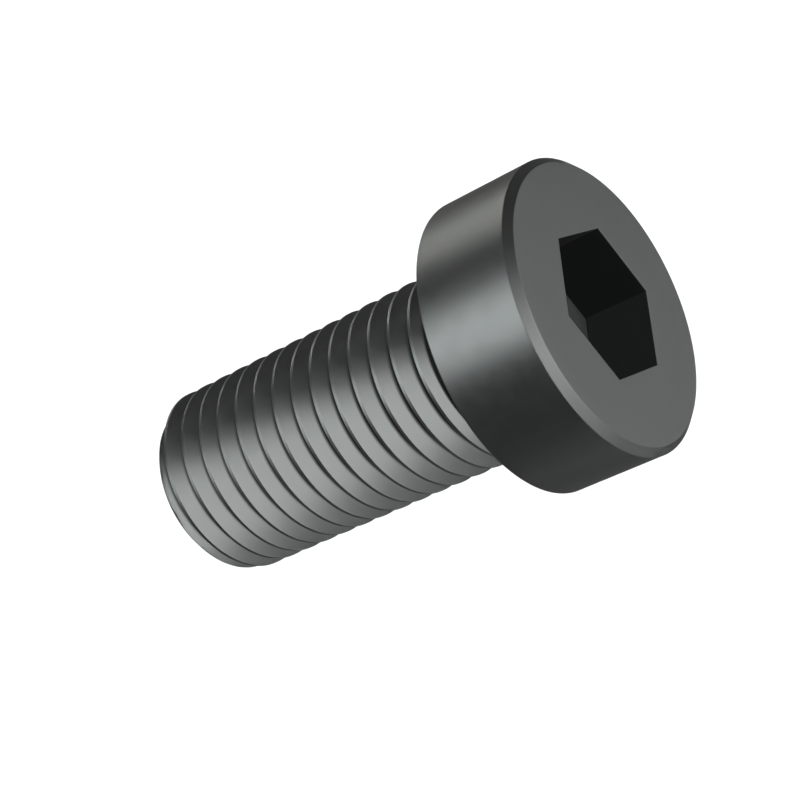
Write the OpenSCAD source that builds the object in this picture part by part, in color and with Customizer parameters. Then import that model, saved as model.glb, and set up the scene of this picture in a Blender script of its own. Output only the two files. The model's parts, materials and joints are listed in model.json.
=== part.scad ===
// Low head socket cap screw with a coarse right-hand thread up to the head.
// It is built along its own axis, from the bearing face, and then laid down on the rim
// of its head and the last crests of its thread, as it comes to rest on a table.
// All sizes are in millimetres and all angles in degrees.

/* [Head] */
// Diameter of the head
head_d = 30; // [27:0.5:40]
// Height of the head, from the bearing face to the flat top
head_h = 10.7; // [9.5:0.1:16]
// Width of the bevel round the top edge of the head
head_bevel = 0.75; // [0.2:0.05:2]

/* [Socket] */
// Width of the hexagon socket across its flats
socket_af = 14.05; // [8:0.05:17]
// Depth of the socket's flat walls
socket_depth = 7.2; // [4:0.1:8]
// Full angle of the drilled cone below the socket's flat walls
drill_angle = 120; // [110:1:150]
// Least width of the flat floor left between the drilled hole and the socket's walls
drill_margin = 0.1; // [0.05:0.05:1]
// Turn of the socket about the screw's axis, from a corner straight down
socket_turn = 56.25; // [0:0.25:59.75]

/* [Shank] */
// Length from the bearing face to the end of the point
shank_len = 40; // [25:1:80]
// Length of the plain neck between the bearing face and the thread
neck_len = 1.25; // [1:0.25:5]
// Height of the neck's surface above the thread's bottom
neck_rise = 0.5; // [0.1:0.05:0.9]
// Length after the neck over which the thread's bottom is no deeper than the neck
shallow_len = 3.25; // [0:0.25:5]
// Radius of the fillet between the bearing face and the neck
neck_fillet = 0.8; // [0.2:0.1:0.9]
// Slope at which the thread's bottom then sinks to its full depth, from the axis
neck_slope = 35; // [20:1:50]
// Diameter of the flat end of the point
point_d = 17; // [12:0.1:18]

/* [Thread] */
// Diameter over the crests of the thread
thread_d = 19.8; // [18.5:0.1:24]
// Distance from one turn of the thread to the next
pitch = 2.5; // [1.5:0.25:3]
// Turns over which the thread rises to its full height after the neck
run_out_turns = 1; // [0.5:0.25:2]
// Angle about the axis at which the thread leaves the bearing face, from straight down
thread_turn = 116.25; // [0:0.25:359.75]
// Straight steps in one turn of the thread
turn_steps = 48; // [24:6:60]

/* [Hidden] */

// Smoothness of the turned surfaces
$fn = 144;
// Overlap by which a cutter reaches past the face that it opens
reach = 1;

head_r = head_d / 2;
crest_r = thread_d / 2;
point_r = point_d / 2;

// Thread form with 60 degree flanks, a crest flat of an eighth of the pitch and a round root
flank_angle = 30;
crest_half = pitch / 16;
root_half = pitch / 8;
flank_depth = (pitch / 2 - root_half - crest_half) / tan(flank_angle);
root_round = root_half / cos(flank_angle);
root_depth = flank_depth + root_round * (1 - sin(flank_angle));
root_r = crest_r - root_depth;

neck_r = root_r + neck_rise;
neck_cone_start = neck_len + shallow_len;
neck_cone_len = neck_rise / tan(neck_slope) + reach / 2;

// Axial place and depth of each point of one turn's outline, from the middle of its crest
FORM = [
    [-crest_half, 0],
    [crest_half, 0],
    [pitch / 2 - root_half, flank_depth],
    [pitch / 2, root_depth],
    [pitch / 2 + root_half, flank_depth]
];
form_n = len(FORM);
thread_steps = ceil((shank_len / pitch + 1.5) * turn_steps);
thread_start = neck_len - pitch / 4;

// Resting pose, seen in the plane that holds the axis and the lowest line of the screw.
// The far edge of the last whole crest is one place that can touch the table.
bevel_start = shank_len - (crest_r - point_r);
full_turns = floor((bevel_start - crest_half) / pitch + thread_turn / 360);
whole_crest = pitch * (full_turns - thread_turn / 360) + crest_half;
// The other is where the point's bevel cuts the next crest, on its flat or on its near flank
next_crest = whole_crest + pitch - 2 * crest_half;
flank_share = 1 / (1 + tan(flank_angle));
cut_crest = max(bevel_start, flank_share * next_crest + (1 - flank_share) * bevel_start);
cut_r = crest_r - (cut_crest - bevel_start);
rest_tilt = min(atan((head_r - crest_r) / whole_crest), atan((head_r - cut_r) / cut_crest));

// Share of the full thread height reached at a place along the axis
function rise(z) = min(1, max(0, (z - thread_start) / (run_out_turns * pitch)));

// One point of the thread's surface: step along the helix and point of the form
function thread_point(step, k) =
    let (angle = thread_turn + 360 * step / turn_steps)
    let (z = pitch * step / turn_steps)
    let (r = root_r + (root_depth - FORM[k][1]) * rise(z))
    [r * cos(angle), r * sin(angle), z + FORM[k][0]];

// The two triangles of a four-sided patch
function patch(a, b, c, d) = [[a, b, c], [a, c, d]];

// Solid rod with the thread on it, longer than the shank and uncut at both ends
module threaded_rod() {
    points = [for (step = [0:thread_steps]) for (k = [0:form_n - 1]) thread_point(step, k)];
    first_mid = len(points);
    last_mid = first_mid + 1;
    top_start = (thread_steps - turn_steps) * form_n;
    // Boundary of the open lower end: one turn of the first edge, then back along the form
    lower = concat(
        [for (step = [0:turn_steps]) step * form_n],
        [for (k = [form_n - 1:-1:1]) k]
    );
    // Boundary of the open upper end
    upper = concat(
        [for (step = [0:turn_steps]) top_start + step * form_n + form_n - 1],
        [for (k = [form_n - 2:-1:0]) thread_steps * form_n + k]
    );
    faces = concat(
        [for (step = [0:thread_steps - 1]) for (k = [0:form_n - 2])
            let (a = step * form_n + k)
            each patch(a, a + 1, a + form_n + 1, a + form_n)],
        [for (step = [0:thread_steps - turn_steps - 1])
            let (a = step * form_n + form_n - 1)
            let (b = (step + turn_steps) * form_n)
            each patch(a, b, b + form_n, a + form_n)],
        [for (i = [0:len(lower) - 1]) [first_mid, lower[i], lower[(i + 1) % len(lower)]]],
        [for (i = [0:len(upper) - 1]) [last_mid, upper[(i + 1) % len(upper)], upper[i]]]
    );
    middles = [[0, 0, 0], [0, 0, pitch * (thread_steps / turn_steps - 0.5)]];
    polyhedron(points = concat(points, middles), faces = faces);
}

// Turned outline that cuts the rod to length and bevels its point
module shank_blank() {
    outer_r = crest_r + reach;
    rotate_extrude()
        polygon([
            [0, -reach],
            [outer_r, -reach],
            [outer_r, shank_len - (outer_r - point_r)],
            [point_r, shank_len],
            [0, shank_len]
        ]);
}

// Round head with its bevel, from the bearing face at zero down to the flat top.
// It is turned by half a facet, so that a facet and no edge between two faces the table.
module head_blank() {
    rotate([0, 0, 180 / $fn])
        rotate_extrude()
            polygon([
                [0, -head_h],
                [head_r - head_bevel, -head_h],
                [head_r, -head_h + head_bevel],
                [head_r, 0],
                [0, 0]
            ]);
}

// Neck under the head, with its fillet. It goes on below the first turns of the thread, and
// ends in the cone over which their bottom sinks.
module neck() {
    rotate_extrude()
        polygon([
            [0, -reach],
            [neck_r, -reach],
            [neck_r, neck_cone_start],
            [neck_r - neck_cone_len * tan(neck_slope), neck_cone_start + neck_cone_len],
            [0, neck_cone_start + neck_cone_len]
        ]);
    rotate_extrude()
        difference() {
            translate([neck_r - reach, -reach])
                square([reach + neck_fillet, reach + neck_fillet]);
            translate([neck_r + neck_fillet, neck_fillet])
                circle(r = neck_fillet);
        }
}

// Hexagon socket, pressed into a drilled hole that ends in a cone
module socket_cutter() {
    drill_r = socket_af / 2 - drill_margin;
    floor_z = -head_h + socket_depth;
    rotate([0, 0, socket_turn])
        translate([0, 0, -head_h - reach])
            cylinder(h = socket_depth + reach, r = socket_af / sqrt(3), $fn = 6);
    rotate_extrude()
        polygon([
            [0, -head_h - reach / 2],
            [drill_r, -head_h - reach / 2],
            [drill_r, floor_z],
            [0, floor_z + drill_r / tan(drill_angle / 2)]
        ]);
}

// Whole screw along +Z, with the bearing face in the plane of zero and the point upward
module standing_screw() {
    difference() {
        union() {
            head_blank();
            neck();
            intersection() {
                threaded_rod();
                shank_blank();
            }
        }
        socket_cutter();
    }
}

module cap_screw() {
    color("dimgray")
        rotate([0, 90 + rest_tilt, 0])
            standing_screw();
}

cap_screw();
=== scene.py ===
"""Looks of a low head socket cap screw in blackened steel, M20 by 40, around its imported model.

The real screw is one piece of steel, so one watertight mesh stands for it. Its head and socket
are turned ring by ring in mesh code. Its shank is a Geometry Nodes surface, whose radius follows
the thread form along a helix. Both are modelled in millimetres along the screw's own axis, from
the bearing face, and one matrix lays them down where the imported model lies.
"""

import json
import logging
import math
from dataclasses import dataclass
from enum import Enum
from typing import Any

import bmesh
import bpy
from mathutils import Matrix, Vector


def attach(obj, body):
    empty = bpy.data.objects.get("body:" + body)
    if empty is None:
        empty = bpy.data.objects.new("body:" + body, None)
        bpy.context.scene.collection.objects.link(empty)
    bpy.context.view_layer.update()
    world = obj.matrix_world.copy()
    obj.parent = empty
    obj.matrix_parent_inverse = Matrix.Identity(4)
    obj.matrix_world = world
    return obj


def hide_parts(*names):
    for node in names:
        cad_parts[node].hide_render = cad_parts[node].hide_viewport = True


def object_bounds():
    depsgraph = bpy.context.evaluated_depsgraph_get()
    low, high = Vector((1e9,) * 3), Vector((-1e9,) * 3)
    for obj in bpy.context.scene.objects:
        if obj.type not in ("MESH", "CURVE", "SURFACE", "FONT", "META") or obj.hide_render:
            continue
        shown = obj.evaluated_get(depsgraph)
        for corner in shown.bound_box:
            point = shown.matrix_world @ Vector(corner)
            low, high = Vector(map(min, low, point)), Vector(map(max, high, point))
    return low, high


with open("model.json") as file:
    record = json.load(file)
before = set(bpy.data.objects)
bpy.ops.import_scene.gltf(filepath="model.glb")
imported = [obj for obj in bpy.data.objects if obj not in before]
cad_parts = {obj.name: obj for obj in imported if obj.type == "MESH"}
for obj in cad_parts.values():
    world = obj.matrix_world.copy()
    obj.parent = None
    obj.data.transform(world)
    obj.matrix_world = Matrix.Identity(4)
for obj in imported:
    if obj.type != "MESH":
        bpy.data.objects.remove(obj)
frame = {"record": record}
CAD_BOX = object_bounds()

MM = 0.001
PHOTO_WIDTH = 800
SENSOR_WIDTH = 36.0
HEXAGON_SIDES = 6
# Steps of the shank's formula that are held between 0 and 1
CLAMPED_STEPS = ("rise", "share left", "worn_and_highlight", "bevel share", "root depth", "neck depth", "depth")

log = logging.getLogger("cap_screw")


class Region(Enum):
    """How the steel was worked there and where highlight and shade are painted, as the name of the mesh
    attribute that marks it.
    """

    TURNED = "turned"
    # Paler crests and edges: partly rubbed wear, partly a painted highlight
    WORN_AND_HIGHLIGHT = "worn_and_highlight"
    # Painted shade: a dark, nearly matt colour in the socket, the roots and the neck
    PAINTED_SHADE = "painted_shade"


@dataclass(frozen=True)
class ScrewSizes:
    """Driving sizes of the screw in millimetres, and angles in degrees.

    Lengths along the axis run from the bearing face, positive towards the point.
    Angles round the axis run from the line that lies lowest when the screw rests.
    """

    head_d: float = 30.0
    head_h: float = 10.7
    head_bevel: float = 0.75
    socket_af: float = 14.05
    socket_depth: float = 7.2
    drill_angle: float = 120.0
    drill_margin: float = 0.1
    socket_turn: float = 56.25
    shank_len: float = 40.0
    neck_len: float = 1.25
    neck_rise: float = 0.5
    shallow_len: float = 3.25
    neck_fillet: float = 0.8
    neck_slope: float = 35.0
    point_d: float = 17.0
    thread_d: float = 19.8
    pitch: float = 2.5
    run_out_turns: float = 1.0
    thread_turn: float = 116.25
    flank_angle: float = 30.0
    edge_round: float = 0.08
    columns: int = 144

    @property
    def crest_half(self) -> float:
        """Half the width of the crest's flat."""
        return self.pitch / 16

    @property
    def root_half(self) -> float:
        """Half the width over which the root is round."""
        return self.pitch / 8

    @property
    def root_round(self) -> float:
        """Radius of the root."""
        return self.root_half / math.cos(math.radians(self.flank_angle))

    @property
    def root_r(self) -> float:
        """Works out the radius of the thread's bottom.

        Returns:
            Distance from the axis to the bottom of the root.
        """
        slope = math.tan(math.radians(self.flank_angle))
        flank = (self.pitch / 2 - self.root_half - self.crest_half) / slope
        sunk = self.root_round * (1 - math.sin(math.radians(self.flank_angle)))
        return self.thread_d / 2 - flank - sunk

    @property
    def neck_r(self) -> float:
        """Radius of the neck."""
        return self.root_r + self.neck_rise


def linear(hex_colour: str) -> tuple[float, float, float, float]:
    """Turns an sRGB colour into Blender's linear one.

    Args:
        hex_colour: Six hexadecimal digits, such as "3A3C3B".

    Returns:
        Red, green, blue and alpha, from 0 to 1.
    """
    parts = [int(hex_colour[i:i + 2], 16) / 255 for i in (0, 2, 4)]
    # The numbers in the curve are the sRGB standard's
    red, green, blue = (p / 12.92 if p <= 0.04045 else ((p + 0.055) / 1.055) ** 2.4 for p in parts)
    return red, green, blue, 1.0


def view_direction(azimuth: float, elevation: float) -> Vector:
    """Finds the direction in which a camera or light stands, seen from the screw.

    Args:
        azimuth: Degrees round the table; at 0 it stands on the -Y side and looks along +Y.
        elevation: Degrees above the table.

    Returns:
        A vector of length one.
    """
    a, e = math.radians(azimuth), math.radians(elevation)
    return Vector((math.sin(a) * math.cos(e), -math.cos(a) * math.cos(e), math.sin(e)))


def add_node(
    tree: bpy.types.NodeTree, kind: str, settings: dict[str, Any], inputs: dict[Any, Any],
) -> bpy.types.Node:
    """Adds a node with its settings and links.

    Args:
        tree: The tree that gets the node.
        kind: Blender's type name of the node.
        settings: Properties of the node, by name.
        inputs: For each input, by name or number, a value, a socket, or a node whose first
            output is meant.

    Returns:
        The new node.
    """
    node = tree.nodes.new(kind)
    for name, value in settings.items():
        setattr(node, name, value)
    for key, value in inputs.items():
        if isinstance(key, int):
            socket = node.inputs[key]
        else:
            socket = next(s for s in node.inputs if s.name == key and s.enabled)
        if isinstance(value, bpy.types.Node):
            value = next(s for s in value.outputs if s.enabled)
        if isinstance(value, bpy.types.NodeSocket):
            tree.links.new(value, socket)
        else:
            socket.default_value = value
    return node


@dataclass
class ThreadedShank:
    """Shank with its neck, right-hand thread, bevelled point and end face, as one surface.

    The surface is a grid whose rows climb one pitch in each turn, so that crests, flanks and
    roots lie along its rows. Nodes give each of its points a radius from the thread form.

    Attributes:
        sizes: The screw's sizes.
        rows_per_pitch: Rows of the grid in one pitch.
        closing_rows: Rows on the end face, from just inside its edge to its middle.
        merge: Distance under which the grid's points become one.
        bevel_fade: Depth under the thread's form over which the bevel's mark reaches 1.
        neck_fade: Height above the thread's form over which the neck's painted shade reaches 1.
        root_dark: Painted shade at the bottom of a root, before it is held to 1.
        root_fade: How much less the painted shade is where the round of the root ends.
    """

    sizes: ScrewSizes
    rows_per_pitch: int = 32
    closing_rows: int = 3
    merge: float = 0.002
    bevel_fade: float = 0.01
    neck_fade: float = 0.1
    root_dark: float = 1.25
    root_fade: float = 1.2

    def values(self) -> dict[str, float]:
        """Works out the tree's inputs.

        Returns:
            Each input by name, in millimetres, radians, slopes or counts.
        """
        s = self.sizes
        turns = math.ceil(s.shank_len / s.pitch) + 1
        return {
            "Pitch": s.pitch,
            "Crest Radius": s.thread_d / 2,
            "Root Radius": s.root_r,
            "Root Round": s.root_round,
            "Root Half Width": s.root_half,
            "Flank Slope": math.tan(math.radians(s.flank_angle)),
            "Edge Round": s.edge_round,
            "Neck Radius": s.neck_r,
            "Shallow End": s.neck_len + s.shallow_len,
            "Neck Slope": math.tan(math.radians(s.neck_slope)),
            "Thread Start": s.neck_len - s.pitch / 4,
            "Run Out": s.run_out_turns * s.pitch,
            "From": s.neck_fillet,
            "To": s.shank_len,
            "Point Radius": s.point_d / 2,
            "Thread Turn": math.radians(s.thread_turn),
            "Columns": float(s.columns),
            "Rows per Pitch": float(self.rows_per_pitch),
            "Last Row": float(turns * self.rows_per_pitch),
            "Closing Rows": float(self.closing_rows),
        }

    def formula(self) -> list[tuple[Any, ...]]:
        """Gives the steps from a point of the flat grid to its place on the shank and its marks.

        Returns:
            For each step its name, a Math operation and its operands, which are earlier steps,
            inputs or numbers.
        """
        return [
            # Column and row, counted from the grid's corner
            ("half columns", "MULTIPLY", "Columns", 0.5),
            ("column place", "ADD", "grid x", "half columns"),
            ("column", "ROUND", "column place"),
            ("all rows", "ADD", "Last Row", "Closing Rows"),
            ("half rows", "MULTIPLY", "all rows", 0.5),
            ("row place", "ADD", "grid y", "half rows"),
            ("row", "ROUND", "row place"),
            # Angle about the axis, and place along it
            ("turn share", "DIVIDE", "column", "Columns"),
            ("turn angle", "MULTIPLY", "turn share", math.tau),
            ("angle", "ADD", "turn angle", "Thread Turn"),
            ("row turns", "DIVIDE", "row", "Rows per Pitch"),
            ("climb", "ADD", "row turns", "turn share"),
            ("raised", "SUBTRACT", "climb", 1.0),
            ("free place", "MULTIPLY", "raised", "Pitch"),
            ("below end", "MINIMUM", "free place", "To"),
            ("place", "MAXIMUM", "below end", "From"),
            # Distance along the axis from the middle of the nearest root
            ("place in turns", "DIVIDE", "place", "Pitch"),
            ("phase", "SUBTRACT", "place in turns", "turn share"),
            ("crest number", "ROUND", "phase"),
            ("off crest", "SUBTRACT", "phase", "crest number"),
            ("off crest size", "ABSOLUTE", "off crest"),
            ("from root turns", "SUBTRACT", 0.5, "off crest size"),
            ("from root", "MULTIPLY", "from root turns", "Pitch"),
            # Radius of the thread's form, with its round root, flank and crest
            ("across root", "MINIMUM", "from root", "Root Half Width"),
            ("across squared", "MULTIPLY", "across root", "across root"),
            ("round squared", "MULTIPLY", "Root Round", "Root Round"),
            ("chord squared", "SUBTRACT", "round squared", "across squared"),
            ("chord", "SQRT", "chord squared"),
            ("root centre", "ADD", "Root Radius", "Root Round"),
            ("root curve", "SUBTRACT", "root centre", "chord"),
            ("past root", "SUBTRACT", "from root", "across root"),
            ("flank height", "DIVIDE", "past root", "Flank Slope"),
            ("uncut form", "ADD", "root curve", "flank height"),
            ("form", "MINIMUM", "uncut form", "Crest Radius"),
            # The thread rises to its full height over the run-out
            ("helix turns", "ADD", "crest number", "turn share"),
            ("helix place", "MULTIPLY", "helix turns", "Pitch"),
            ("past start", "SUBTRACT", "helix place", "Thread Start"),
            ("rise", "DIVIDE", "past start", "Run Out"),
            ("height", "SUBTRACT", "form", "Root Radius"),
            ("risen height", "MULTIPLY", "height", "rise"),
            ("thread", "ADD", "Root Radius", "risen height"),
            # Neck, and the cone in which it ends
            ("past neck place", "SUBTRACT", "place", "Shallow End"),
            ("past neck", "MAXIMUM", "past neck place", 0.0),
            ("neck drop", "MULTIPLY", "past neck", "Neck Slope"),
            ("neck", "SUBTRACT", "Neck Radius", "neck drop"),
            ("body", "MAXIMUM", "thread", "neck"),
            # Bevel of the point, and rows that close the end face
            ("before end", "SUBTRACT", "To", "place"),
            ("point", "ADD", "Point Radius", "before end"),
            ("cut", "SMOOTH_MIN", "body", "point", "Edge Round"),
            ("closing place", "SUBTRACT", "row", "Last Row"),
            ("closing row", "MAXIMUM", "closing place", 0.0),
            ("first closing", "MINIMUM", "closing row", 1.0),
            ("inset", "MULTIPLY", "first closing", "Edge Round"),
            ("inset radius", "SUBTRACT", "cut", "inset"),
            ("rows left", "SUBTRACT", "Closing Rows", "closing row"),
            ("share left", "DIVIDE", "rows left", self.closing_rows - 1.0),
            ("radius", "MULTIPLY", "inset radius", "share left"),
            ("cosine", "COSINE", "angle"),
            ("sine", "SINE", "angle"),
            ("x", "MULTIPLY", "radius", "cosine"),
            ("y", "MULTIPLY", "radius", "sine"),
            # Marks of rubbed crests with a painted highlight, of the turned bevel, and of painted shade in
            # the roots and at the neck
            ("near crest", "SUBTRACT", "radius", "Crest Radius"),
            ("near crest share", "DIVIDE", "near crest", "Edge Round"),
            ("worn_and_highlight", "ADD", "near crest share", 1.0),
            ("past bevel", "SUBTRACT", "point", "body"),
            ("bevel share", "MULTIPLY", "past bevel", -1 / self.bevel_fade),
            ("root share", "DIVIDE", "from root", "Root Half Width"),
            ("root depth", "MULTIPLY_ADD", "root share", -self.root_fade, self.root_dark),
            ("neck above", "SUBTRACT", "neck", "thread"),
            ("neck depth", "MULTIPLY", "neck above", 1 / self.neck_fade),
            ("deepest", "MAXIMUM", "root depth", "neck depth"),
            ("uncut depth", "SUBTRACT", "deepest", "bevel share"),
            ("depth", "SUBTRACT", "uncut depth", "first closing"),
        ]

    def tree(self) -> bpy.types.GeometryNodeTree:
        """Builds the shank's node tree.

        Returns:
            The tree, with an input for each size and one for the steel.
        """
        tree = bpy.data.node_groups.new("threaded_shank", "GeometryNodeTree")
        for name in self.values():
            tree.interface.new_socket(name, in_out="INPUT", socket_type="NodeSocketFloat")
        tree.interface.new_socket("Steel", in_out="INPUT", socket_type="NodeSocketMaterial")
        tree.interface.new_socket("Shank", in_out="OUTPUT", socket_type="NodeSocketGeometry")
        group = add_node(tree, "NodeGroupInput", {}, {})
        known: dict[str, Any] = {s.name: s for s in group.outputs if s.name}
        across = add_node(tree, "ShaderNodeMath", {"operation": "ADD"}, {0: known["Columns"], 1: 1.0})
        rows = add_node(tree, "ShaderNodeMath", {"operation": "ADD"}, {
            0: known["Last Row"], 1: known["Closing Rows"]})
        down = add_node(tree, "ShaderNodeMath", {"operation": "ADD"}, {0: rows, 1: 1.0})
        grid = add_node(tree, "GeometryNodeMeshGrid", {}, {
            "Size X": known["Columns"], "Size Y": rows, "Vertices X": across, "Vertices Y": down})
        place = add_node(tree, "GeometryNodeInputPosition", {}, {})
        apart = add_node(tree, "ShaderNodeSeparateXYZ", {}, {0: place})
        known["grid x"], known["grid y"] = apart.outputs[0], apart.outputs[1]
        for name, operation, *operands in self.formula():
            settings = {"operation": operation, "label": name, "use_clamp": name in CLAMPED_STEPS}
            sources = {i: known[o] if isinstance(o, str) else o for i, o in enumerate(operands)}
            known[name] = add_node(tree, "ShaderNodeMath", settings, sources).outputs[0]
        point = add_node(tree, "ShaderNodeCombineXYZ", {}, {
            0: known["x"], 1: known["y"], 2: known["place"]})
        # Marks come before the move, because their formulas read places on the flat grid
        marked = grid
        # The first mark is rubbed wear with a painted highlight. The last is painted shade in the roots
        # and at the neck
        steps = {Region.WORN_AND_HIGHLIGHT: "worn_and_highlight", Region.TURNED: "bevel share", Region.PAINTED_SHADE: "depth"}
        on_points = {"data_type": "FLOAT", "domain": "POINT"}
        for region, step in steps.items():
            marked = add_node(tree, "GeometryNodeStoreNamedAttribute", on_points, {
                "Geometry": marked, "Name": region.value, "Value": known[step]})
        moved = add_node(tree, "GeometryNodeSetPosition", {}, {"Geometry": marked, "Position": point})
        merged = add_node(tree, "GeometryNodeMergeByDistance", {}, {
            "Geometry": moved, "Distance": self.merge})
        real = add_node(tree, "GeometryNodeRealizeInstances", {}, {"Geometry": merged})
        steel = add_node(tree, "GeometryNodeSetMaterial", {}, {
            "Geometry": real, "Material": known["Steel"]})
        add_node(tree, "NodeGroupOutput", {}, {"Shank": steel})
        return tree

    def build(self, steel: bpy.types.Material) -> bpy.types.Mesh:
        """Evaluates the tree once and returns its result.

        Args:
            steel: The screw's finish.

        Returns:
            A plain mesh in millimetres, along the screw's axis.
        """
        carrier = bpy.data.objects.new("shank_carrier", bpy.data.meshes.new("shank_carrier"))
        bpy.context.scene.collection.objects.link(carrier)
        modifier = carrier.modifiers.new("shank", "NODES")
        modifier.node_group = self.tree()
        items = modifier.node_group.interface.items_tree
        sockets = {i.name: i.identifier for i in items if i.in_out == "INPUT"}
        for name, value in self.values().items():
            modifier[sockets[name]] = value
        modifier[sockets["Steel"]] = steel
        evaluated = carrier.evaluated_get(bpy.context.evaluated_depsgraph_get())
        mesh = bpy.data.meshes.new_from_object(evaluated)
        carrier.modifiers.remove(modifier)
        bpy.data.objects.remove(carrier)
        return mesh


@dataclass(frozen=True)
class Ring:
    """One ring of points on the head, from which its faces are made.

    Attributes:
        radius: Distance from the axis, or half the width across flats where the ring is a hexagon.
        place: Distance from the bearing face along the axis.
        hexagon: True where the ring follows the socket.
        turned: Share of lathe marks on it.
        worn_and_highlight: Share of rubbed edge and painted highlight on it.
        painted_shade: Share of painted shade, a dark and nearly matt colour, in the socket and at the
            neck.
    """

    radius: float
    place: float
    hexagon: bool = False
    turned: float = 1.0
    worn_and_highlight: float = 0.0
    painted_shade: float = 0.0


@dataclass
class SocketHead:
    """Low cylindrical head with its bevel, hexagon socket, bearing face and the fillet below it.

    Attributes:
        sizes: The screw's sizes.
        arc_steps: Steps round each rounded corner.
        fillet_steps: Steps round the fillet at the neck.
        cone_shares: Rings on the drilled cone, as shares of its radius.
        top_share: First ring on the flat top, as a share of the socket's half width.
        bearing_share: Last ring that is flat on the bearing face, in fillets from the neck.
        dark_share: Ring at which the painted shade of the neck begins, in fillets from the neck.
        wear_and_highlight_start: Where the rubbing and painted highlight of a corner begin, as a share of
            half a wave.
        drilled_turned: Share of lathe marks on the drilled cone.
        fillet_turned: Share of lathe marks on the fillet.
        floor_painted_shade: Share of painted shade on the socket's floor and drilled cone.
    """

    sizes: ScrewSizes
    arc_steps: int = 3
    fillet_steps: int = 10
    cone_shares: tuple[float, ...] = (0.02, 0.3, 0.6, 0.9, 0.99, 1.0)
    top_share: float = 1.3
    bearing_share: float = 2.0
    dark_share: float = 1.05
    wear_and_highlight_start: float = 0.1
    drilled_turned: float = 0.5
    fillet_turned: float = 0.3
    floor_painted_shade: float = 0.85

    def corner(
        self, before: tuple[float, float], at: tuple[float, float], after: tuple[float, float],
    ) -> list[Ring]:
        """Rounds one corner of the turned outline.

        A ring close to each end keeps the faces beside the corner flat.

        Args:
            before: Radius and place of the outline's last point.
            at: Radius and place of the sharp corner.
            after: Radius and place of the outline's next point.

        Returns:
            The rings from the first face to the second.
        """
        r = self.sizes.edge_round
        corner = Vector(at)
        to_back, to_next = (Vector(before) - corner).normalized(), (Vector(after) - corner).normalized()
        half = to_back.angle(to_next) / 2
        centre = corner + (to_back + to_next).normalized() * (r / math.sin(half))
        start, end = corner + to_back * (r / math.tan(half)), corner + to_next * (r / math.tan(half))
        rings = [Ring(*(start + to_back * r / 2))]
        for i in range(self.arc_steps + 1):
            share = i / self.arc_steps
            out = (start - centre).normalized().slerp((end - centre).normalized(), share)
            # Rubbed wear and a painted highlight along the rounded corner
            wave = self.wear_and_highlight_start + share * (1 - 2 * self.wear_and_highlight_start)
            rings.append(Ring(*(centre + out * r), worn_and_highlight=math.sin(math.pi * wave)))
        rings.append(Ring(*(end + to_next * r / 2)))
        return rings

    def rings(self) -> list[Ring]:
        """Works out the head's rings.

        Returns:
            The rings, from the socket's floor over the top and the side to the neck.
        """
        s = self.sizes
        head_r, half_af = s.head_d / 2, s.socket_af / 2
        top, floor = -s.head_h, -s.head_h + s.socket_depth
        drill_r = half_af - s.drill_margin
        cone = drill_r / math.tan(math.radians(s.drill_angle / 2))
        # Spacing of the rings that keep the socket's edges sharp
        lip = s.edge_round / 4
        # The drilled cone, floor and walls of the socket carry painted shade
        rings = [
            Ring(
                drill_r * share, floor + cone * (1 - share),
                turned=self.drilled_turned, painted_shade=self.floor_painted_shade)
            for share in self.cone_shares
        ]
        rings += [
            Ring(half_af - lip, floor, hexagon=True, turned=0, painted_shade=self.floor_painted_shade),
            Ring(half_af, floor, hexagon=True, turned=0, painted_shade=1),
            Ring(half_af, floor - lip, hexagon=True, turned=0, painted_shade=1),
            Ring(half_af, top + 3 * lip, hexagon=True, turned=0, painted_shade=1),
            Ring(half_af, top + lip, hexagon=True, turned=0, painted_shade=1),
            Ring(half_af + lip, top, hexagon=True),
            Ring(half_af + 3 * lip, top, hexagon=True),
        ]
        bearing_r = s.neck_r + s.neck_fillet * self.bearing_share
        outline = [
            (half_af * self.top_share, top),
            (head_r - s.head_bevel, top),
            (head_r, top + s.head_bevel),
            (head_r, 0.0),
            (bearing_r, 0.0),
        ]
        rings.append(Ring(*outline[0]))
        for before, at, after in zip(outline, outline[1:], outline[2:]):
            rings += self.corner(before, at, after)
        rings.append(Ring(bearing_r, 0.0))
        # Painted shade at the neck begins here and covers the fillet
        rings.append(Ring(s.neck_r + s.neck_fillet * self.dark_share, 0.0, painted_shade=1))
        for i in range(self.fillet_steps + 1):
            angle = math.pi / 2 * i / self.fillet_steps
            rings.append(Ring(
                s.neck_r + s.neck_fillet * (1 - math.sin(angle)),
                s.neck_fillet * (1 - math.cos(angle)),
                turned=self.fillet_turned, painted_shade=1))
        return rings

    def build(self) -> bmesh.types.BMesh:
        """Joins the rings by faces.

        Returns:
            The head, open at the neck, in millimetres along the screw's axis.
        """
        s = self.sizes
        sector = 360 / HEXAGON_SIDES
        mesh = bmesh.new()
        layers = {region: mesh.verts.layers.float.new(region.value) for region in Region}
        rows = []
        for ring in self.rings():
            row = []
            for i in range(s.columns):
                angle = s.socket_turn + 360 * i / s.columns
                from_flat = math.radians((angle - s.socket_turn) % sector - sector / 2)
                radius = ring.radius / math.cos(from_flat) if ring.hexagon else ring.radius
                turn = math.radians(angle)
                vert = mesh.verts.new((radius * math.cos(turn), radius * math.sin(turn), ring.place))
                vert[layers[Region.TURNED]] = ring.turned
                vert[layers[Region.WORN_AND_HIGHLIGHT]] = ring.worn_and_highlight
                vert[layers[Region.PAINTED_SHADE]] = ring.painted_shade
                row.append(vert)
            rows.append(row)
        for inner, outer in zip(rows, rows[1:]):
            for i in range(s.columns):
                j = (i + 1) % s.columns
                mesh.faces.new((inner[i], inner[j], outer[j], outer[i]))
        # One small face closes the tip of the drilled cone
        mesh.faces.new(rows[0])
        return mesh


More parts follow.
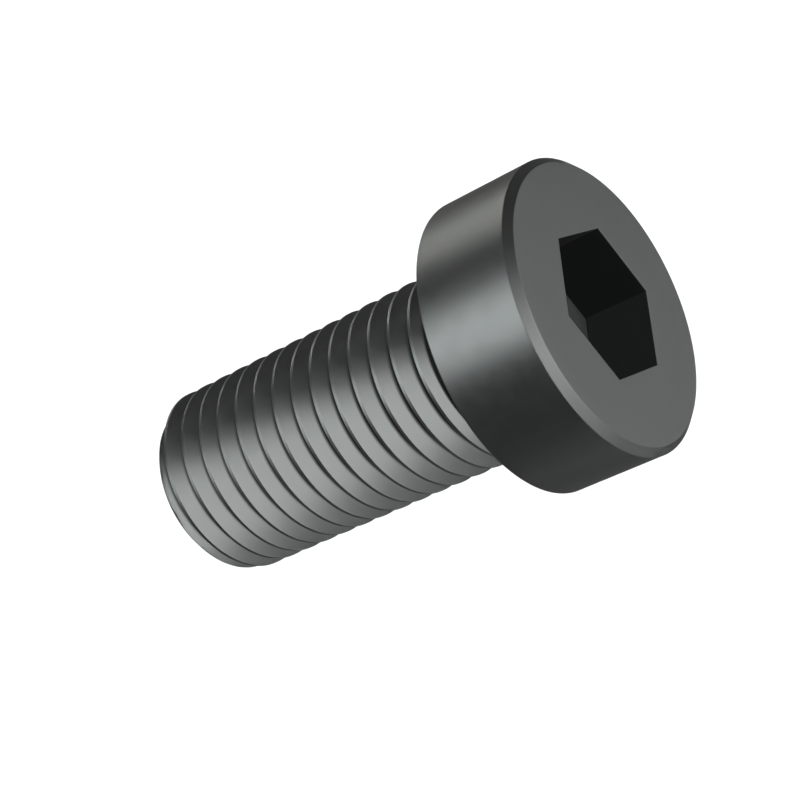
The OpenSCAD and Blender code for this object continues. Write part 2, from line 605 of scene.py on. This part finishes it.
@dataclass(frozen=True)
class BlackOxideSteel:
    """Quenched alloy steel, rolled and turned, with a thin black oxide layer and a film of oil.

    To the eye it is a dark, nearly neutral grey metal with a satin gloss: broad soft highlights,
    a faint mottle of the oxide, fine rings where a lathe cut it, and paler crests and edges that are
    partly rubbed wear and partly a painted highlight. In the socket, the roots and the neck a dark,
    nearly matt colour is painted shade.

    Attributes:
        oxide: Colour where the oxide is of the usual thickness.
        oxide_thin: Colour where it is thinner.
        rubbed_and_highlight: Colour of paler crests and edges, partly rubbed wear and partly a painted
            highlight.
        painted_shade: Colour of the painted shade.
        roughness: Roughness of the open surface, on average.
        roughness_spread: How far the mottle takes the roughness either way.
        mottle_reach: How far from a half the mottle's noise mostly strays.
        painted_shade_roughness: Roughness where the shade is painted.
        mottle_mm: Size of the mottle's patches.
        grain_mm: Size of the rolled and etched grain.
        lathe_mm: Feed of the lathe, as the distance between two of its marks.
        relief_mm: Height of grain and marks at full strength.
        grain_strength: Strength of the grain's relief.
        lathe_strength: Strength of the marks' relief.
    """

    oxide: str = "636564"
    oxide_thin: str = "666867"
    rubbed_and_highlight: str = "6E7170"
    painted_shade: str = "222323"
    roughness: float = 0.36
    roughness_spread: float = 0.03
    mottle_reach: float = 0.2
    painted_shade_roughness: float = 0.7
    mottle_mm: float = 1.6
    grain_mm: float = 0.12
    lathe_mm: float = 0.25
    relief_mm: float = 0.02
    grain_strength: float = 0.04
    lathe_strength: float = 0.05

    def build(self, tilt: float) -> bpy.types.Material:
        """Builds the finish.

        Args:
            tilt: Turn in radians that lays the screw's axis down.

        Returns:
            The material.
        """
        material = bpy.data.materials.new("black_oxide_steel")
        material.use_nodes = True
        tree = material.node_tree
        tree.nodes.clear()
        object_place = add_node(tree, "ShaderNodeTexCoord", {}, {}).outputs["Object"]
        # Millimetres along the screw's own axis, which the mapping stands up again
        place = add_node(tree, "ShaderNodeMapping", {}, {
            "Vector": object_place, "Scale": (1 / MM,) * 3, "Rotation": (0.0, -tilt, 0.0)})
        apart = add_node(tree, "ShaderNodeSeparateXYZ", {}, {0: place})
        square_x = add_node(tree, "ShaderNodeMath", {"operation": "POWER"}, {0: apart.outputs[0], 1: 2.0})
        square_y = add_node(tree, "ShaderNodeMath", {"operation": "POWER"}, {0: apart.outputs[1], 1: 2.0})
        square_r = add_node(tree, "ShaderNodeMath", {"operation": "ADD"}, {0: square_x, 1: square_y})
        radius = add_node(tree, "ShaderNodeMath", {"operation": "SQRT"}, {0: square_r})
        rings = add_node(tree, "ShaderNodeCombineXYZ", {}, {0: radius, 1: apart.outputs[2]})
        reads = {r: add_node(tree, "ShaderNodeAttribute", {"attribute_name": r.value}, {}) for r in Region}
        marked = {region: node.outputs["Fac"] for region, node in reads.items()}

        mottle = add_node(tree, "ShaderNodeTexNoise", {}, {
            "Vector": place, "Scale": 1 / self.mottle_mm, "Detail": 5.0, "Roughness": 0.6})
        grain = add_node(tree, "ShaderNodeTexNoise", {}, {
            "Vector": place, "Scale": 1 / self.grain_mm, "Detail": 2.0, "Roughness": 0.5})
        marks = add_node(tree, "ShaderNodeTexNoise", {}, {
            "Vector": rings, "Scale": 1 / self.lathe_mm, "Detail": 3.0, "Roughness": 0.6})

        mixed = add_node(tree, "ShaderNodeMix", {"data_type": "RGBA"}, {
            "Factor": mottle, "A": linear(self.oxide), "B": linear(self.oxide_thin)})
        # Paler crests and edges: partly rubbed wear, partly a painted highlight
        wear_and_highlight = add_node(tree, "ShaderNodeMath", {"operation": "MULTIPLY"}, {
            0: marked[Region.WORN_AND_HIGHLIGHT], 1: mottle})
        open_colour = add_node(tree, "ShaderNodeMix", {"data_type": "RGBA"}, {
            "Factor": wear_and_highlight, "A": mixed, "B": linear(self.rubbed_and_highlight)})
        # Painted shade: a darker, nearly matt colour in the socket, the roots and the neck, because the
        # lights cast no shadows
        colour = add_node(tree, "ShaderNodeMix", {"data_type": "RGBA"}, {
            "Factor": marked[Region.PAINTED_SHADE], "A": open_colour, "B": linear(self.painted_shade)})
        spread = add_node(tree, "ShaderNodeMapRange", {}, {
            "Value": mottle,
            "From Min": 0.5 - self.mottle_reach, "From Max": 0.5 + self.mottle_reach,
            "To Min": self.roughness - self.roughness_spread,
            "To Max": self.roughness + self.roughness_spread})
        roughness = add_node(tree, "ShaderNodeMix", {"data_type": "FLOAT"}, {
            "Factor": marked[Region.PAINTED_SHADE], "A": spread, "B": self.painted_shade_roughness})
        fine = add_node(tree, "ShaderNodeBump", {}, {
            "Height": grain, "Strength": self.grain_strength, "Distance": self.relief_mm * MM})
        marks_share = add_node(tree, "ShaderNodeMath", {"operation": "MULTIPLY"}, {
            0: marks, 1: marked[Region.TURNED]})
        bumps = add_node(tree, "ShaderNodeBump", {}, {
            "Height": marks_share, "Strength": self.lathe_strength, "Distance": self.relief_mm * MM,
            "Normal": fine})
        surface = add_node(tree, "ShaderNodeBsdfPrincipled", {}, {
            "Base Color": colour, "Metallic": 1.0, "Roughness": roughness, "Normal": bumps})
        add_node(tree, "ShaderNodeOutputMaterial", {}, {"Surface": surface})
        return material


@dataclass
class CapScrew:
    """The whole screw: its head and shank joined into one closed mesh and laid down.

    Attributes:
        sizes: The screw's sizes.
        axis: Direction from the bearing face to the point, as the screw lies.
        smooth_under: Angle in degrees between two faces, under which their edge shades smooth.
        weld: Distance in millimetres under which points become one where head and shank meet.
    """

    sizes: ScrewSizes
    axis: Vector
    smooth_under: float = 50.0
    weld: float = 0.004

    @property
    def lay_turn(self) -> float:
        """Turn about Y, in radians, that takes the upright axis to where the screw lies."""
        return math.atan2(self.axis.x, self.axis.z)

    def build(self) -> bpy.types.Object:
        """Builds, closes and dresses the screw.

        Returns:
            The screw's object, at the origin, with its place in its mesh.
        """
        steel = BlackOxideSteel().build(self.lay_turn)
        whole = SocketHead(self.sizes).build()
        shank = ThreadedShank(self.sizes).build(steel)
        log.info("shank: %d faces", len(shank.polygons))
        whole.from_mesh(shank)
        bpy.data.meshes.remove(shank)
        bmesh.ops.remove_doubles(whole, verts=whole.verts, dist=self.weld)
        bmesh.ops.recalc_face_normals(whole, faces=whole.faces)
        open_edges = sum(not e.is_manifold for e in whole.edges)
        log.info("joined: %d faces, %d open edges", len(whole.faces), open_edges)
        whole.transform(Matrix.Rotation(self.lay_turn, 4, "Y") @ Matrix.Scale(MM, 4))
        mesh = bpy.data.meshes.new("black_cap_screw")
        whole.to_mesh(mesh)
        whole.free()
        mesh.materials.append(steel)
        mesh.polygons.foreach_set("use_smooth", [True] * len(mesh.polygons))
        mesh.polygons.foreach_set("material_index", [0] * len(mesh.polygons))
        mesh.set_sharp_from_angle(angle=math.radians(self.smooth_under))
        screw = bpy.data.objects.new("black_cap_screw", mesh)
        bpy.context.scene.collection.objects.link(screw)
        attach(screw, "root")
        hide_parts("cap_screw")
        return screw


@dataclass(frozen=True)
class PhotoCamera:
    """Camera at the photograph's viewing angle, in millimetres and degrees.

    Azimuth 0 looks along +Y, and the roll leans the picture against the table's upright.
    The focal length is in pixels of the photograph, which is PHOTO_WIDTH wide.
    """

    aim: tuple[float, float, float] = (13.969, 1.025, -1.498)
    azimuth: float = -147.202
    elevation: float = 23.521
    distance: float = 219.859
    roll: float = 31.040
    focal_px: float = 2237.35
    clip_near: float = 10.0
    clip_far: float = 10000.0

    def turn(self) -> Matrix:
        """Returns the camera's rotation: its columns are right, up and back."""
        upright = view_direction(self.azimuth, self.elevation).to_track_quat("Z", "Y").to_matrix()
        return upright @ Matrix.Rotation(-math.radians(self.roll), 3, "Z")

    def build(self) -> None:
        """Adds the camera and makes it the scene's."""
        data = bpy.data.cameras.new("photo_camera")
        data.sensor_width = SENSOR_WIDTH
        data.lens = self.focal_px / PHOTO_WIDTH * SENSOR_WIDTH
        data.clip_start, data.clip_end = self.clip_near * MM, self.clip_far * MM
        camera = bpy.data.objects.new("photo_camera", data)
        place = Vector(self.aim) + view_direction(self.azimuth, self.elevation) * self.distance
        camera.matrix_world = Matrix.Translation(place * MM) @ self.turn().to_4x4()
        bpy.context.scene.collection.objects.link(camera)
        bpy.context.scene.camera = camera


@dataclass(frozen=True)
class Softbox:
    """Round soft light far from the screw.

    Attributes:
        azimuth: Direction it stands in, in degrees, counted as the camera's.
        elevation: Its height over the table's horizon, in degrees.
        half_angle: Half the angle that it spans, seen from the screw, in degrees.
        radiance: Its brightness.
        colour: Its tint, in sRGB.
        mirrored: Whether polished and satin surfaces mirror it.
    """

    azimuth: float
    elevation: float
    half_angle: float
    radiance: float
    colour: str = "FFFFFF"
    mirrored: bool = True

    def build(self, name: str) -> None:
        """Adds the light, which casts no shadow, as the photograph's don't.

        Args:
            name: Name of the light's object.
        """
        data = bpy.data.lights.new(name, "SUN")
        data.angle = math.radians(2 * self.half_angle)
        data.energy = self.radiance * math.pi * math.sin(math.radians(self.half_angle)) ** 2
        data.color = linear(self.colour)[:3]
        data.use_shadow = False
        data.cycles.use_multiple_importance_sampling = False
        light = bpy.data.objects.new(name, data)
        light.rotation_mode = "QUATERNION"
        light.rotation_quaternion = view_direction(self.azimuth, self.elevation).to_track_quat("Z", "Y")
        light.visible_glossy = self.mirrored
        bpy.context.scene.collection.objects.link(light)


@dataclass
class Studio:
    """Pale table without an edge, softboxes round the screw and an even dim light from everywhere."""

    table_z: float
    front: Softbox = Softbox(azimuth=-98, elevation=4, half_angle=28, radiance=2.45)
    front_wide: Softbox = Softbox(azimuth=-123, elevation=1, half_angle=51, radiance=0.58)
    low: Softbox = Softbox(azimuth=-57, elevation=-17, half_angle=24, radiance=1.22)
    under: Softbox = Softbox(azimuth=-115, elevation=-63, half_angle=43, radiance=0.46)
    side: Softbox = Softbox(azimuth=147, elevation=38, half_angle=21.5, radiance=3.75, colour="FAFEFF")
    rear: Softbox = Softbox(azimuth=36, elevation=46, half_angle=19.5, radiance=1.85, colour="FFFCF8")
    table_light: Softbox = Softbox(azimuth=0, elevation=90, half_angle=30, radiance=2.4, mirrored=False)
    ambient: float = 0.17
    table_size: float = 4.0
    table_colour: str = "F4F4F4"

    def build(self) -> None:
        """Builds the table and all the light."""
        self.build_table()
        for name in ("front", "front_wide", "low", "under", "side", "rear", "table_light"):
            getattr(self, name).build(name)
        world = bpy.data.worlds.new("ambient")
        world.use_nodes = True
        world.node_tree.nodes.clear()
        glow = add_node(world.node_tree, "ShaderNodeBackground", {}, {"Strength": self.ambient})
        add_node(world.node_tree, "ShaderNodeOutputWorld", {}, {"Surface": glow})
        bpy.context.scene.world = world
        bpy.context.scene.view_settings.view_transform = "Standard"

    def build_table(self) -> None:
        """Adds the table's top, which the steel doesn't mirror and which shades nothing."""
        half = self.table_size / 2
        outline = ((-half, -half), (half, -half), (half, half), (-half, half))
        corners = [(x, y, self.table_z) for x, y in outline]
        mesh = bpy.data.meshes.new("table")
        mesh.from_pydata(corners, [], [(0, 1, 2, 3)])
        table = bpy.data.objects.new("table", mesh)
        bpy.context.scene.collection.objects.link(table)
        table.visible_glossy = False
        table.visible_shadow = False
        paper = bpy.data.materials.new("white_paper")
        paper.use_nodes = True
        paper.node_tree.nodes.clear()
        surface = add_node(paper.node_tree, "ShaderNodeBsdfDiffuse", {}, {
            "Color": linear(self.table_colour)})
        add_node(paper.node_tree, "ShaderNodeOutputMaterial", {}, {"Surface": surface})
        mesh.materials.append(paper)


def main() -> None:
    """Builds the screw, the camera and the studio."""
    logging.basicConfig(level=logging.INFO, format="%(name)s: %(message)s")
    rim = next(m for m in frame["record"]["mounts"] if m["name"] == "head_rim")
    sizes = ScrewSizes(head_d=2 * rim["dims"]["r_mm"])
    screw = CapScrew(sizes, Vector(rim["axis"])).build()
    log.info("%s: %d faces in one piece", screw.name, len(screw.data.polygons))
    PhotoCamera().build()
    Studio(table_z=CAD_BOX[0].z).build()


if __name__ == "__main__":
    main()
